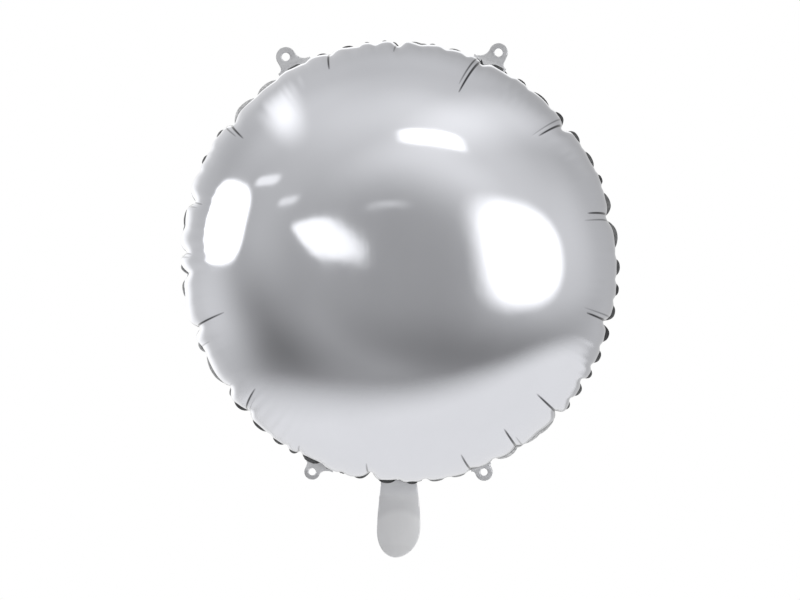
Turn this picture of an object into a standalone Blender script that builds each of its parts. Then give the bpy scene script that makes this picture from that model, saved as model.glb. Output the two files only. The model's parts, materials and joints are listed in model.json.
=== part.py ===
"""Round foil balloon, inflated: two welded film domes, their weld band, four eyelet ears and a filling tail.

The balloon's disc lies in the XZ plane, its front faces -Y and its tail hangs down along -Z.
The origin is the middle of the gas space. Lengths are in metres.
"""

from math import asin, atan2, cos, hypot, pi, radians, sin, sqrt

import bmesh
import bpy
from mathutils import Matrix

# The film before filling: a flat disc, 45 cm across over its weld.
FLAT_RADIUS = 0.220
BAND_WIDTH = 0.005

# The filled shape of such a disc: its rim draws in, and its profile is the curve of least bending.
RIM_RADIUS = 0.7627 * FLAT_RADIUS
WALL = 0.010
GAP = 0.0003

# The rim puckers, because its slack has nowhere to go. Notches are angles in degrees round the rim,
# from +X towards +Z, and the deep ones run on into creases.
DEEP_NOTCHES = (12.0, 39.2, 67.2, 90.3, 108.3, 140.5, 163.8, 177.5, 183.3, 198.3, 216.3, 225.0, 241.0, 262.3,
                289.3, 302.3, 316.0, 343.5)
SHALLOW_NOTCHES = (2.1, 20.2, 25.0, 32.2, 45.0, 53.3, 59.0, 72.0, 77.8, 84.5, 96.5, 101.0, 115.5, 123.7,
                   131.0, 149.5, 155.5, 170.5, 190.5, 205.0, 233.0, 248.5, 254.5, 269.4, 276.5, 282.5,
                   295.5, 309.0, 321.0, 326.9, 331.5, 337.3, 350.0, 355.3)
NOTCHES = sorted(DEEP_NOTCHES + SHALLOW_NOTCHES)
STEPS_PER_LOBE = 4
DEEP_DEPTH = 0.0045
SHALLOW_DEPTH = 0.0028
PUCKER_REACH = 0.030

# The outline is a little longer along one diagonal, as a share of its radius.
OVAL_SHARE = 0.0115
OVAL_ANGLE = radians(124.7)

# Where rings of points lie on the dome, outside and inside, as shares of the rim radius.
OUTER_RINGS = (0.22, 0.42, 0.60, 0.76, 0.88, 0.955, 0.99)
INNER_RINGS = (0.94, 0.72, 0.40)

# Weld band: its thickness and how deep it sits between the domes. A tab leaves it from a straight edge,
# which is set back from the outline.
BAND_THICKNESS = 0.0010
BAND_SEAT = 0.005
SET_BACK = 0.0008
DEEP_SET_BACK = 0.0024
SEAT_MARGIN = 0.0060

# Ears: angle round the rim, hole centre from the middle, set-back, end radius, hole radius, and the width
# and height of the two flares where the ear widens into the rim, clockwise and then the other way.
EAR_THICKNESS = 0.0010
EAR_ROOT = 0.00035
EARS = {
    "ear_top_left": {"angle": 119.1, "hole_at": 0.1836, "set_back": SET_BACK, "end": 0.0077, "hole": 0.0031,
                     "flares": ((0.0087, 0.0085), (0.0039, 0.0039))},
    "ear_top_right": {"angle": 64.8, "hole_at": 0.1810, "set_back": SET_BACK, "end": 0.0073, "hole": 0.0031,
                      "flares": ((0.0037, 0.0037), (0.0092, 0.0086))},
    "ear_bottom_left": {"angle": 247.3, "hole_at": 0.1778, "set_back": SET_BACK, "end": 0.0060,
                        "hole": 0.0030, "flares": ((0.0012, 0.0020), (0.0088, 0.0052))},
    "ear_bottom_right": {"angle": 291.8, "hole_at": 0.1769, "set_back": DEEP_SET_BACK, "end": 0.0068,
                         "hole": 0.0030, "flares": ((0.0022, 0.0028), (0.0008, 0.0012))},
}
ARC_STEPS = 10
HOLE_SIDES = 28

# Tail: two plies with the valve sleeve between them, hanging from the band's lowest flat.
PLY_THICKNESS = 0.0006
SLEEVE_THICKNESS = 0.0004
TAIL_ROOT = 0.0007
TAIL_LENGTH = 0.0567
TAIL_TOP_HALF = 0.0142
TAIL_WIDE_HALF = 0.0169
TAIL_END_LENGTH = 0.0225
TAIL_X = -0.0008
TAIL_LEAN = 0.0026
TAIL_ANGLE = radians(270)
SLEEVE_HALF = 0.0105
SLEEVE_LENGTH = 0.0480
TAIL_STEPS = 14
TAIL_HALF_THICKNESS = SLEEVE_THICKNESS / 2 + GAP + PLY_THICKNESS


def oval(angle):
    """How far the outline lies out at an angle, as a share of the round one."""
    return 1 + OVAL_SHARE * cos(2 * (angle - OVAL_ANGLE))


def outline_radius(angle):
    """Distance from the middle of the crowns of the weld band's lobes."""
    return (RIM_RADIUS + BAND_WIDTH) * oval(angle)


def edge_distance(angle, set_back):
    """Distance from the middle of the straight edge that a tab leaves the weld band from."""
    return outline_radius(angle) - set_back


def hinge_distance(angle, set_back, root, half_thickness):
    """Distance of a tab's bending line from the middle: its root clears the straight edge as it turns."""
    return edge_distance(angle, set_back) + hypot(root, half_thickness) + GAP


def foil_material(name, colour, roughness, metallic):
    material = bpy.data.materials.new(name)
    material.use_nodes = True
    shader = material.node_tree.nodes["Principled BSDF"]
    shader.inputs["Base Color"].default_value = (*colour, 1.0)
    shader.inputs["Roughness"].default_value = roughness
    shader.inputs["Metallic"].default_value = metallic
    return material


def finish_object(bm, name, material):
    """Turn the working mesh into a named object with outward faces and smooth shading."""
    bmesh.ops.recalc_face_normals(bm, faces=bm.faces)
    mesh = bpy.data.meshes.new(name)
    bm.to_mesh(mesh)
    bm.free()
    mesh.shade_smooth()
    mesh.set_sharp_from_angle(angle=radians(35))
    mesh.materials.append(material)
    obj = bpy.data.objects.new(name, mesh)
    bpy.context.collection.objects.link(obj)
    return obj


def dome_point(share, inset):
    """Radius and height of the filled film at a share of the rim radius, moved inwards by inset."""
    turn = asin(min(share, 1.0) ** 2)
    slices = 200
    step = (pi / 2 - turn) / slices
    height = sum(sqrt(sin(turn + (i + 0.5) * step)) for i in range(slices)) * step * RIM_RADIUS / 2
    radius = RIM_RADIUS * sqrt(sin(turn))
    return radius - inset * sin(turn), height - inset * cos(turn)


def notch_depth(notch):
    """How deep the notch with this number is, counted round the rim."""
    return DEEP_DEPTH if NOTCHES[notch % len(NOTCHES)] in DEEP_NOTCHES else SHALLOW_DEPTH


def rim_place(even_angle):
    """The true angle of a point that was spun in even steps, and how deep the rim's scallop is there."""
    lobes = len(NOTCHES)
    step = round(even_angle / (2 * pi) * lobes * STEPS_PER_LOBE) % (lobes * STEPS_PER_LOBE)
    notch, part = divmod(step, STEPS_PER_LOBE)
    share = part / STEPS_PER_LOBE
    following = NOTCHES[notch + 1] if notch + 1 < lobes else NOTCHES[0] + 360
    angle = NOTCHES[notch] + (following - NOTCHES[notch]) * share
    depth = notch_depth(notch) * (1 - share) + notch_depth(notch + 1) * share
    return radians(angle), depth * (1 - sin(pi * share))


def pucker(bm, fade_of):
    """Move each spun point to its place on the scalloped rim, drawn in as far as fade_of says."""
    for vert in bm.verts:
        radius = hypot(vert.co.x, vert.co.z)
        if radius == 0:
            continue
        angle, depth = rim_place(atan2(vert.co.z, vert.co.x))
        radius = (radius - depth * fade_of(vert.co)) * oval(angle)
        vert.co.x = radius * cos(angle)
        vert.co.z = radius * sin(angle)


def spin_profile(bm, points):
    """Turn a closed profile of (radius, height) points about the Y axis, in even steps."""
    verts = [bm.verts.new((radius, height, 0)) for radius, height in points]
    edges = [bm.edges.new((a, b)) for a, b in zip(verts, verts[1:])]
    if points[0][0] > 0:
        edges.append(bm.edges.new((verts[-1], verts[0])))
    bmesh.ops.spin(bm, geom=verts + edges, cent=(0, 0, 0), axis=(0, 1, 0), angle=2 * pi,
                   steps=len(NOTCHES) * STEPS_PER_LOBE, use_merge=True)
    bmesh.ops.remove_doubles(bm, verts=bm.verts, dist=1e-6)


def make_dome(name, side, material):
    """One half of the envelope: a bowl of film whose rim lies beside the weld band."""
    seam = BAND_THICKNESS / 2 + GAP
    outside = [(0, dome_point(0, 0)[1])]
    outside += [dome_point(share, 0) for share in OUTER_RINGS]
    outside.append((RIM_RADIUS, 0))
    inside = [(RIM_RADIUS - WALL, 0)]
    inside += [dome_point(share, WALL) for share in INNER_RINGS]
    inside.append((0, dome_point(0, WALL)[1]))
    points = [(radius, side * (seam + height)) for radius, height in outside + inside]
    bm = bmesh.new()
    spin_profile(bm, points)
    on_outside = RIM_RADIUS - WALL / 2

    def fade(co):
        if hypot(co.x, co.z) < on_outside and abs(co.y) < seam + GAP:
            return 0.0
        above = abs(co.y) - seam
        return max(0.0, 1 - above / PUCKER_REACH)

    pucker(bm, fade)
    return finish_object(bm, name, material)


def seat_tab(bm, angle, distance, clockwise, other_way):
    """Move the band's outer edge onto a straight line where a tab leaves it, a little past the tab's root."""
    for vert in bm.verts:
        turn = (atan2(vert.co.z, vert.co.x) - angle + pi) % (2 * pi) - pi
        along = RIM_RADIUS * turn
        if hypot(vert.co.x, vert.co.z) > RIM_RADIUS - BAND_SEAT / 2 and -clockwise < along < other_way:
            radius = min(distance / cos(turn), outline_radius(angle + turn))
            vert.co.x = radius * cos(angle + turn)
            vert.co.z = radius * sin(angle + turn)


def make_weld_band(material):
    """The flat ring where both films are welded together, scalloped like the lobes beside it."""
    inner = RIM_RADIUS - BAND_SEAT
    outer = RIM_RADIUS + BAND_WIDTH
    half = BAND_THICKNESS / 2
    bm = bmesh.new()
    spin_profile(bm, [(inner, -half), (outer, -half), (outer, half), (inner, half)])
    pucker(bm, lambda co: 1.0 if hypot(co.x, co.z) > RIM_RADIUS else 0.0)
    for ear in EARS.values():
        angle = radians(ear["angle"])
        clockwise, other_way = [ear["end"] + width + SEAT_MARGIN for width, height in ear["flares"]]
        seat_tab(bm, angle, edge_distance(angle, ear["set_back"]), clockwise, other_way)
    tail_half = TAIL_TOP_HALF + SEAT_MARGIN
    seat_tab(bm, TAIL_ANGLE, edge_distance(TAIL_ANGLE, SET_BACK), tail_half - TAIL_X, tail_half + TAIL_X)
    return finish_object(bm, "weld_band", material)


def arc(centre_x, centre_y, radius, start, end, steps):
    """Points along an arc, angles in degrees."""
    turns = [radians(start + (end - start) * i / steps) for i in range(steps + 1)]
    return [(centre_x + radius * cos(turn), centre_y + radius * sin(turn)) for turn in turns]


def add_loop(bm, points):
    """A closed loop of edges in the XZ plane."""
    verts = [bm.verts.new((x, 0, z)) for x, z in points]
    return [bm.edges.new((a, b)) for a, b in zip(verts, verts[1:] + verts[:1])]


def thicken(bm, low, high):
    """Fill the loops and give the sheet its thickness along Y, from low to high."""
    bmesh.ops.triangle_fill(bm, edges=bm.edges[:], use_beauty=True, use_dissolve=False, normal=(0, 1, 0))
    bmesh.ops.translate(bm, verts=bm.verts, vec=(0, low, 0))
    raised = bmesh.ops.extrude_face_region(bm, geom=bm.faces[:])
    verts = [item for item in raised["geom"] if isinstance(item, bmesh.types.BMVert)]
    bmesh.ops.translate(bm, verts=verts, vec=(0, high - low, 0))


def flare(end, width, height):
    """The hollow curve from an ear's root to its side, as (distance from the middle line, height) points."""
    curve = arc(0, 0, 1, 270, 180, ARC_STEPS // 2)
    return [(end + width + width * x, height - EAR_ROOT + height * z) for x, z in curve]


def ear_outline(ear, hole_height):
    """Root, two hollow flares and a round end; the bending line is at height 0."""
    right, left = [flare(ear["end"], width, height) for width, height in ear["flares"]]
    crown = arc(0, hole_height, ear["end"], 0, 180, 2 * ARC_STEPS)
    return right + crown + [(-x, z) for x, z in left[::-1]]


def make_ear(name, ear, material):
    """An eyelet ear: a film tab with a punched hole, hinged where it leaves the weld band."""
    angle = radians(ear["angle"])
    axis_at = hinge_distance(angle, ear["set_back"], EAR_ROOT, EAR_THICKNESS / 2)
    hole_height = ear["hole_at"] - axis_at
    bm = bmesh.new()
    add_loop(bm, ear_outline(ear, hole_height))
    add_loop(bm, arc(0, hole_height, ear["hole"], 0, 360, HOLE_SIDES)[:-1])
    thicken(bm, -EAR_THICKNESS / 2, EAR_THICKNESS / 2)
    obj = finish_object(bm, name, material)
    turn = Matrix.Rotation(pi / 2 - angle, 4, "Y")
    obj.matrix_world = Matrix.Translation((axis_at * cos(angle), 0, axis_at * sin(angle))) @ turn
    return obj


def tail_half_width(down):
    """Half width of the tail at a distance below its bending line."""
    end_start = TAIL_LENGTH - TAIL_END_LENGTH
    if down <= end_start:
        swell = sin(pi / 2 * max(down, 0) / end_start)
        return TAIL_TOP_HALF + (TAIL_WIDE_HALF - TAIL_TOP_HALF) * swell
    share = min((down - end_start) / TAIL_END_LENGTH, 1.0)
    return TAIL_WIDE_HALF * sqrt(1 - share ** 2)


def tail_drift(down):
    """How far the tail's middle line has wandered sideways at a distance below its bending line."""
    return -TAIL_LEAN * (max(down, 0) / TAIL_LENGTH) ** 4


def tail_outline():
    """Down one side of the paddle, round its end and up the other side."""
    down_steps = [-TAIL_ROOT] + [TAIL_LENGTH * sin(pi / 2 * i / TAIL_STEPS) for i in range(1, TAIL_STEPS)]

    def side(sign):
        return [(sign * tail_half_width(down) + tail_drift(down), -down) for down in down_steps]

    tip = [(tail_drift(TAIL_LENGTH), -TAIL_LENGTH)]
    return side(-1) + tip + side(1)[::-1]


def make_tail_sheet(name, points, low, high, material):
    """A flat sheet of the tail, whose own origin is on the line where the tail bends."""
    bm = bmesh.new()
    add_loop(bm, points)
    thicken(bm, low, high)
    obj = finish_object(bm, name, material)
    obj.location = (TAIL_X, 0, -hinge_distance(TAIL_ANGLE, SET_BACK, TAIL_ROOT, TAIL_HALF_THICKNESS))
    return obj


def make_tail(foil, clear):
    """The filling tail: front ply, back ply and the flat valve sleeve between them."""
    inner = SLEEVE_THICKNESS / 2 + GAP
    outer = TAIL_HALF_THICKNESS
    make_tail_sheet("tail_front_film", tail_outline(), -outer, -inner, foil)
    make_tail_sheet("tail_back_film", tail_outline(), inner, outer, foil)
    sleeve = [(-SLEEVE_HALF, TAIL_ROOT), (-SLEEVE_HALF, -SLEEVE_LENGTH),
              (SLEEVE_HALF, -SLEEVE_LENGTH), (SLEEVE_HALF, TAIL_ROOT)]
    make_tail_sheet("valve_sleeve", sleeve, -SLEEVE_THICKNESS / 2, SLEEVE_THICKNESS / 2, clear)


def build_balloon():
    for obj in list(bpy.data.objects):
        bpy.data.objects.remove(obj, do_unlink=True)
    foil = foil_material("silver_foil", (0.78, 0.79, 0.81), 0.14, 1.0)
    welded = foil_material("welded_foil", (0.70, 0.71, 0.73), 0.32, 1.0)
    clear = foil_material("sleeve_film", (0.86, 0.87, 0.88), 0.25, 0.0)
    make_dome("envelope_front", -1, foil)
    make_dome("envelope_back", 1, foil)
    make_weld_band(welded)
    for name, ear in EARS.items():
        make_ear(name, ear, welded)
    make_tail(foil, clear)


build_balloon()
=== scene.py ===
# %% [markdown]
# # Round foil balloon
#
# The balloon is two discs of metallised film, welded together round their edge and filled. Film can't
# stretch, so the rim has to draw in as the middle rises. Its slack gathers in V-shaped notches with soft
# lobes between them, and that rim is what makes the thing read as a foil balloon. The middle is a clean
# curved mirror, so what it reflects matters as much as its shape does: half of this script is a studio.

import json
from math import atan2, cos, hypot, pi, radians, sin, sqrt

import bmesh
import bpy
import numpy as np
from mathutils import Matrix, Vector


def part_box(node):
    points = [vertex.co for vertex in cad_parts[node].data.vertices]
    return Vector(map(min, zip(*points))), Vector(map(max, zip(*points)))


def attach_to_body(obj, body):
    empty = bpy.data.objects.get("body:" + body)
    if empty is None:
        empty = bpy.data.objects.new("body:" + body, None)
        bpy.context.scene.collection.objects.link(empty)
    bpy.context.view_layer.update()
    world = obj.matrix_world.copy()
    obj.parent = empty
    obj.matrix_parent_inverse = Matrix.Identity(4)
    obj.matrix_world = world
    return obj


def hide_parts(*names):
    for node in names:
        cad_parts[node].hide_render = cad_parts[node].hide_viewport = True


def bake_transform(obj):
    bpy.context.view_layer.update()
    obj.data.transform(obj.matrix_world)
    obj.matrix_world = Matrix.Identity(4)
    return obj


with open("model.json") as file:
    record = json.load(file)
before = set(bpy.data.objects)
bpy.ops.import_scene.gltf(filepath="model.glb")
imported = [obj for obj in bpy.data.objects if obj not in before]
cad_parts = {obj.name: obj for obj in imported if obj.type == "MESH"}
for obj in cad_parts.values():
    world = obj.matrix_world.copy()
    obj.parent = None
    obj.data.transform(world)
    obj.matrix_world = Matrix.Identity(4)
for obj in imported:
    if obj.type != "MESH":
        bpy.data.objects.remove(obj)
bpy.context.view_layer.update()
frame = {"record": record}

# %% [markdown]
# ## Sizes
#
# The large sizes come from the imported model. The height of the filled film over its weld is a fixed share
# of its rim radius, so the pole of the CAD dome gives the rim radius exactly, however its rim is puckered.
# Small sizes of the rim are given in the photograph's pixels, of PIXEL metres each.

# %% Sizes from the frame
POLE_SHARE = 0.59907
BAND_WIDTH = 0.005
SEAM_GAP = 0.0002
PIXEL = 0.000782
dome_low, dome_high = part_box("envelope_front")
RIM_RADIUS = (dome_high.y - dome_low.y) / POLE_SHARE
BAND_OUTER = RIM_RADIUS + BAND_WIDTH
print(f"rim radius {RIM_RADIUS * 1000:.1f} mm, over the band {BAND_OUTER * 1000:.1f} mm")

# %% [markdown]
# ## Camera
#
# The photograph looks level at the balloon from straight in front. The balloon's outline is 221 pixels
# in radius on its picture, and its middle lies 38 pixels above the picture's middle. Those two numbers and
# a plausible distance fix the lens and the camera's height.

# %% Camera
PICTURE_WIDTH = 800
OUTLINE_RADIUS_PX = 221.0
MIDDLE_ABOVE_PX = 38.0
CAMERA_DISTANCE = 2.2
px_per_metre = OUTLINE_RADIUS_PX / BAND_OUTER
camera_data = bpy.data.cameras.new("camera")
camera_data.sensor_width = 36.0
camera_data.lens = camera_data.sensor_width * px_per_metre * CAMERA_DISTANCE / PICTURE_WIDTH
camera = bpy.data.objects.new("camera", camera_data)
camera.location = (0.0, -CAMERA_DISTANCE, -MIDDLE_ABOVE_PX / px_per_metre)
camera.rotation_euler = (radians(90), 0, 0)
bpy.context.collection.objects.link(camera)
bpy.context.scene.camera = camera
bpy.context.scene.view_settings.view_transform = "Standard"
print(f"lens {camera_data.lens:.1f} mm, {px_per_metre:.0f} pixels to a metre")

# %% [markdown]
# ## The film's profile
#
# A flat disc that is filled without stretching takes one known curve. With u running from 0 at the pole
# to a quarter turn at the weld, its radius is R sin u, and both the height and the length of film follow
# from short sums. Everything below places points by their length of film from the weld, because that is
# what stays the same while the film puckers.

# %% Profile of the filled film
turns = np.linspace(0, pi / 2, 4001)
film_rate = RIM_RADIUS / np.sqrt(1 + np.sin(turns) ** 2)
rise_rate = film_rate * np.sin(turns) ** 2
mid_step = (turns[1] - turns[0]) / 2
from_pole = np.concatenate(([0], np.cumsum((film_rate[1:] + film_rate[:-1]) * mid_step)))
below_pole = np.concatenate(([0], np.cumsum((rise_rate[1:] + rise_rate[:-1]) * mid_step)))
FILM_RADIUS = from_pole[-1]
profile_film = (FILM_RADIUS - from_pole)[::-1]
profile_radius = (RIM_RADIUS * np.sin(turns))[::-1]
profile_height = (below_pole[-1] - below_pole)[::-1]
profile_lean = (np.sin(turns) ** 2)[::-1]
print(f"flat radius {FILM_RADIUS * 1000:.1f} mm, height {profile_height[-1] * 1000:.1f} mm")


# %% Reading the profile at a length of film
def film_point(film):
    """Radius, height and the radial part of the outward normal, at lengths of film from the weld."""
    radius = np.interp(film, profile_film, profile_radius)
    height = np.interp(film, profile_film, profile_height)
    return radius, height, np.interp(film, profile_film, profile_lean)


def film_at(radius, height):
    """The length of film from the weld of points on the smooth profile, by a measure that only rises."""
    known = (RIM_RADIUS - profile_radius) + profile_height
    return np.interp((RIM_RADIUS - radius) + height, known, profile_film)


# %% [markdown]
# ## Where the rim is gathered
#
# The notches were read one by one off enlarged strips of the rim, as angles counted from the right-hand
# side. How far each draws the film in, in pixels, was worked out from the radius of the traced outline
# there, and rounded or changed. A crease has its angle at the rim, the angle where it dies out,
# its length along the film, its depth and its notch's pull. Side creases start inside the rim, so they
# have no pull. A nick is a notch without a crease.

# %% Creases and nicks
CREASES = [
    (12.0, 14.3, 0.061, 0.0011, 3.9), (39.2, 42.0, 0.069, 0.0010, 5.3), (67.2, 70.8, 0.080, 0.0011, 2.5),
    (90.3, 91.8, 0.042, 0.0006, 2.8), (108.3, 110.3, 0.052, 0.0009, 2.0),
    (140.5, 142.0, 0.059, 0.0009, 3.3), (163.8, 164.0, 0.047, 0.0006, 4.8),
    (177.5, 178.0, 0.040, 0.0006, 3.6), (183.3, 183.0, 0.032, 0.0005, 3.4),
    (198.3, 196.3, 0.074, 0.0008, 4.4), (216.3, 216.0, 0.038, 0.0004, 3.8),
    (225.0, 221.3, 0.062, 0.0009, 3.2), (242.2, 241.3, 0.036, 0.0005, 1.9),
    (262.3, 260.5, 0.048, 0.0006, 4.8), (289.3, 287.5, 0.054, 0.0008, 1.0),
    (302.3, 301.8, 0.061, 0.0010, 1.4), (316.2, 315.8, 0.069, 0.0010, 4.2),
    (343.5, 344.5, 0.064, 0.0011, 4.4),
]
SIDE_CREASES = [
    (41.0, 43.5, 0.076, 0.0004), (68.6, 71.6, 0.072, 0.0006), (142.2, 142.8, 0.050, 0.0005),
    (165.3, 165.2, 0.040, 0.0004), (178.6, 178.9, 0.036, 0.0004), (203.3, 202.8, 0.042, 0.0004),
    (226.2, 223.0, 0.056, 0.0003), (303.8, 303.4, 0.044, 0.0004), (345.0, 345.8, 0.070, 0.0004),
    (10.5, 12.4, 0.068, 0.0005),
]
NICKS = [
    (2.1, 2.6), (20.2, 1.7), (25.0, 1.2), (32.2, 1.6), (45.4, 1.4), (53.3, 1.7), (59.0, 1.6), (72.0, 2.0),
    (77.8, 1.4), (84.5, 0.7), (96.5, 2.0), (101.0, 1.5), (115.5, 1.1), (123.7, 0.9), (131.0, 0.9),
    (149.5, 1.5), (155.5, 1.4), (170.5, 0.7), (190.5, 0.6), (205.0, 1.2), (233.0, 1.5), (238.3, 1.8),
    (248.7, 1.6), (254.5, 0.8), (269.6, 2.2), (276.5, 2.2), (282.5, 0.9), (295.5, 1.9), (309.0, 0.7),
    (321.2, 2.6), (326.9, 4.6), (331.5, 2.8), (337.2, 2.8), (349.8, 2.2), (355.3, 2.2),
]
rim_notches = sorted([(start, pull * PIXEL, True) for start, end, length, depth, pull in CREASES]
                     + [(angle, pull * PIXEL, False) for angle, pull in NICKS])
notch_angles = np.array([angle for angle, pull, deep in rim_notches])
notch_pulls = np.array([pull for angle, pull, deep in rim_notches])
notch_deep = np.array([deep for angle, pull, deep in rim_notches])
gaps = np.diff(np.concatenate((notch_angles, notch_angles[:1] + 360)))
print(len(notch_angles), "lobes, from", round(gaps.min(), 1), "to", round(gaps.max(), 1), "degrees wide")

# %% [markdown]
# ## How the gathered film moves
#
# Cloth simulation could pucker a rim too, but its lobes fall where they like. Here each notch has its
# place, so the film is moved in code instead. Every notch pulls the film inwards most on its own line and
# not at all on the crowns of the lobes beside it, which leaves arched lobes between sharp valleys. Away
# from the weld the pull fades and its valley softens, and a deep notch narrows into a crease.

# %% The pull of notches
NOTCH_FADE = {"nick": 0.020, "crease": 0.028}
LOBE_ARCH = 2.6
NOTCH_SOFT = 0.05
NOTCH_STRETCH = 1.9
SOFTENING = 11.0


def turn_between(angles, target):
    """Signed angle in degrees from target, from -180 to 180."""
    return (angles - target + 180) % 360 - 180


def notch_pull(angles, film):
    """How far the rim's notches draw the film in, at one length of film from the weld."""
    angles = angles % 360
    nearest = np.searchsorted(notch_angles, angles) % len(notch_angles)
    soft = NOTCH_SOFT + SOFTENING * film
    total = np.zeros_like(angles)
    for notch in (nearest - 1, nearest):
        gap = gaps[nearest - 1]
        away = np.abs(turn_between(angles, notch_angles[notch])) / (gap / 2)
        away = (np.sqrt(away ** 2 + soft ** 2) - soft) / (sqrt(1 + soft ** 2) - soft)
        fade = np.exp(-(film / np.where(notch_deep[notch], NOTCH_FADE["crease"], NOTCH_FADE["nick"])) ** 2)
        total += NOTCH_STRETCH * notch_pulls[notch] * fade * np.maximum(1 - away, 0) ** LOBE_ARCH
    return total


# %% [markdown]
# A crease is a narrow valley, wider near the weld. Film that is folded so sharply shuts on itself, and
# inside the fold lies a thin line of shade. No mesh is fine enough for that, so the shade is painted on the
# points.

# %% The pull of creases
CREASE_START = 0.003
CREASE_SHARE = 0.7
CREASE_FADE = 0.8
CREASE_WIDTH = 0.0011
MOUTH_WIDTH = 0.0012
MOUTH_REACH = 0.01
# Painted shade: a thin dark line inside each fold, with its width, its start, the depth that makes it full,
# and its fade.
FOLD_SHADE_WIDTH = 0.00080
FOLD_SHADE_START = 0.004
FOLD_SHADE_DEPTH = 0.0006
FOLD_SHADE_FADE = 0.35


def crease_angle(crease, film):
    """Where a crease runs at a length of film from the weld."""
    start, end, length = crease[:3]
    return start + turn_between(end, start) * min(film / length, 1.0)


def crease_pull(angles, film, radius, creases):
    """How deep the creases fold the film, and how strong the painted shade inside each fold is."""
    pull = np.zeros_like(angles)
    line = np.zeros_like(angles)
    for crease in creases:
        length, depth = crease[2:4]
        if film >= length:
            continue
        fade = (1 - film / length) ** CREASE_FADE * min(film / CREASE_START, 1.0)
        width = CREASE_WIDTH + MOUTH_WIDTH * np.exp(-film / MOUTH_REACH)
        across = np.abs(np.radians(turn_between(angles, crease_angle(crease, film)))) * radius
        pull += CREASE_SHARE * depth * fade * np.exp(-across / width)
        # The painted shade inside the fold, strongest for deep creases.
        shut = (1 - film / length) ** FOLD_SHADE_FADE * min(film / FOLD_SHADE_START, 1.0)
        line += depth / FOLD_SHADE_DEPTH * shut * np.exp(-(across / FOLD_SHADE_WIDTH) ** 2)
    return pull, line


# %% [markdown]
# The outline isn't quite round either: it is longer along one diagonal. The weld band outside the film
# stands out in some places, as a crescent over the crown of a lobe, and is folded away behind the rest.
# Each crescent has the angles where it starts and ends, its thickness in pixels and how pale it looks,
# which is painted light and shade, read off the same enlarged strips. Where a tab bends, the rim keeps inside
# its bending line.

# %% Where the tabs bend
JOINTS = {joint["child"]: Vector(joint["pos_m"]) for joint in frame["record"]["behaviour"]["joints"]}
TAB_BODIES = ["top_left_ear", "top_right_ear", "bottom_left_ear", "bottom_right_ear", "tail"]


def hinge_radius(body):
    """How far from the middle a tab bends."""
    return hypot(JOINTS[body].x, JOINTS[body].z)


def hinge_angle(body):
    """The angle round the rim at which a tab stands; the tail hangs straight down."""
    return 270.0 if body == "tail" else np.degrees(atan2(JOINTS[body].z, JOINTS[body].x)) % 360


# %% Outline and crescents
OVAL_SHARE = 0.0115
OVAL_ANGLE = 124.7
# The last number of each crescent is its painted light and shade, from dark at 0 to pale at 1.
CRESCENTS = [
    (3.7, 11.2, 3.7, 0.45), (12.7, 18.9, 4.0, 0.45), (21.0, 24.0, 2.7, 0.1), (26.0, 31.0, 3.2, 0.3),
    (33.4, 38.0, 3.2, 0.25), (40.0, 44.2, 3.2, 0.15), (46.0, 52.2, 2.1, 0.15), (54.2, 57.6, 2.1, 0.1),
    (60.0, 65.2, 2.7, 0.2), (66.7, 70.4, 2.4, 0.1), (73.5, 77.5, 1.6, 0.5), (80.5, 82.5, 1.8, 0.95),
    (82.5, 87.4, 2.0, 0.6), (90.0, 92.0, 1.7, 0.15), (93.2, 94.8, 1.3, 0.15), (97.7, 99.4, 1.3, 0.2),
    (102.0, 105.4, 2.1, 0.1), (109.2, 112.2, 1.7, 0.1), (116.6, 120.6, 1.9, 0.3), (123.9, 130.8, 3.4, 1.0),
    (131.2, 140.2, 3.6, 1.0), (143.0, 146.0, 2.3, 0.35), (150.8, 153.8, 2.3, 0.15), (165.7, 172.2, 1.9, 0.25),
    (180.6, 184.0, 2.7, 0.6), (184.6, 189.4, 2.3, 0.6), (201.6, 205.0, 2.8, 0.8), (205.6, 214.6, 2.6, 0.8),
    (216.4, 218.4, 1.7, 0.3), (220.0, 224.4, 2.9, 0.1), (226.8, 231.8, 2.6, 0.1), (234.0, 237.6, 2.4, 0.1),
    (239.2, 241.9, 2.2, 0.15), (243.0, 248.2, 3.6, 0.3), (250.3, 252.0, 1.4, 0.2), (253.8, 255.4, 1.4, 0.2),
    (257.8, 262.0, 2.1, 0.1), (264.3, 268.9, 2.6, 0.15), (271.8, 274.6, 2.2, 0.2), (277.3, 281.7, 1.7, 0.35),
    (283.3, 287.5, 1.6, 0.6), (296.0, 304.0, 3.0, 0.9), (304.5, 314.5, 3.0, 0.9), (318.3, 320.6, 1.8, 0.2),
    (322.5, 326.2, 2.8, 0.2), (327.8, 330.7, 2.6, 0.15), (332.5, 336.2, 3.2, 0.15), (338.5, 343.0, 4.0, 0.1),
    (344.0, 348.6, 3.4, 0.2), (351.0, 354.4, 3.0, 0.1), (356.4, 360.9, 3.3, 0.25),
]
EXTRA_THICKNESS = 0.4
CRESCENT_ARCH = 2.2
CRESCENT_ROUNDING = 0.75
FOLDED = 0.35
INSET_BLUR = 1.4
PER_DEGREE = 10
SEAT_WIDTH = 4.5
SEAT_ROOM = 0.0012


def crescent_at(angles):
    """Thickness, painted light and shade, and how close to the crescent's own middle, 1 there and 0 at its
    tips.
    """
    thickness, painted_light, middle = np.zeros((3, *angles.shape))
    for start, end, width, painted_lightness in CRESCENTS:
        share = (angles - start) % 360 / (end - start)
        inside = share < 1
        arch = np.where(inside, 1 - np.abs(2 * share - 1) ** CRESCENT_ARCH, 0)
        shape = np.maximum(arch, 0) ** CRESCENT_ROUNDING
        thickness += np.where(inside, (width + EXTRA_THICKNESS) * PIXEL * shape, 0)
        painted_light = np.where(inside, painted_lightness, painted_light)
        middle = np.where(inside, arch, middle)
    return thickness, painted_light, middle


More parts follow.
